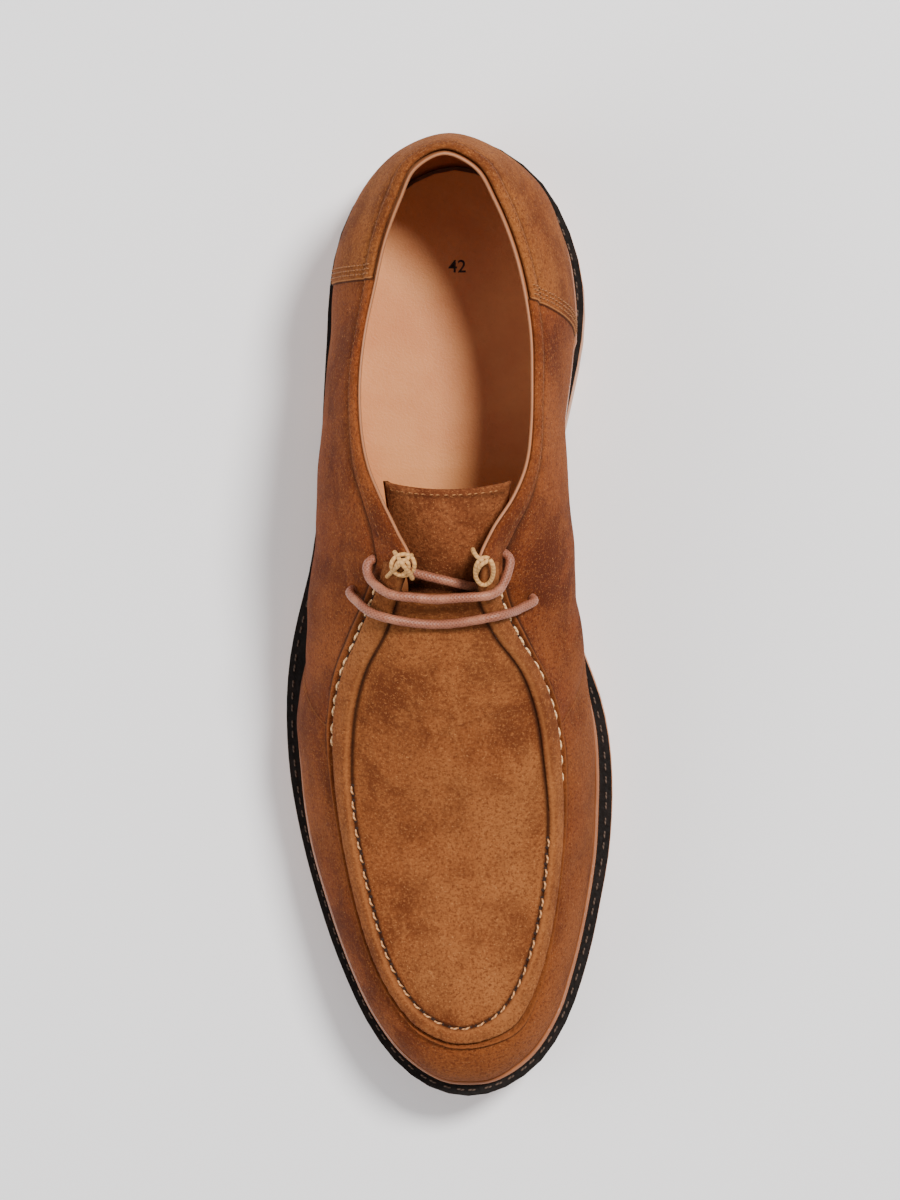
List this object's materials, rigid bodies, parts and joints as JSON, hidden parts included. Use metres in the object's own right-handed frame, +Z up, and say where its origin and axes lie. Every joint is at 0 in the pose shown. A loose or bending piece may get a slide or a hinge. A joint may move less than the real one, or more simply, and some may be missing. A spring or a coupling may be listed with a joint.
{
  "type": "lace-up shoe",
  "caption": "Right shoe, suede lace-up with a raised apron seam, two short rows of round lacing, an open collar, stitched welt and a gum sole with a low lugged heel.",
  "frame": {"origin": "on the floor, at the middle of the outsole's length and width", "axes": "+Y from toe to heel, +Z up, +X towards the inner (medial) side of this right shoe"},
  "size_m": [0.1011, 0.294, 0.1043],
  "materials": {
    "gum_rubber": "matt moulded gum rubber, lighter at the arch and darker at the toe",
    "tan_midsole": "pale tan board edge, satin",
    "dark_welt": "nearly black brown, matt, with tan stitches",
    "gloss_rand": "polished brown",
    "brown_suede": "brushed suede, orange brown, cloudy nap",
    "tan_leather": "smooth light tan leather, satin",
    "waxed_lace": "waxed round cord, dusty rose brown"
  },
  "bodies": {
    "root": {"outsole": "gum_rubber", "midsole": "tan_midsole", "welt": "dark_welt", "rand": "gloss_rand", "upper": "brown_suede", "tongue": "brown_suede", "insole": "tan_leather", "lace": "waxed_lace"}
  },
  "joints": []
}
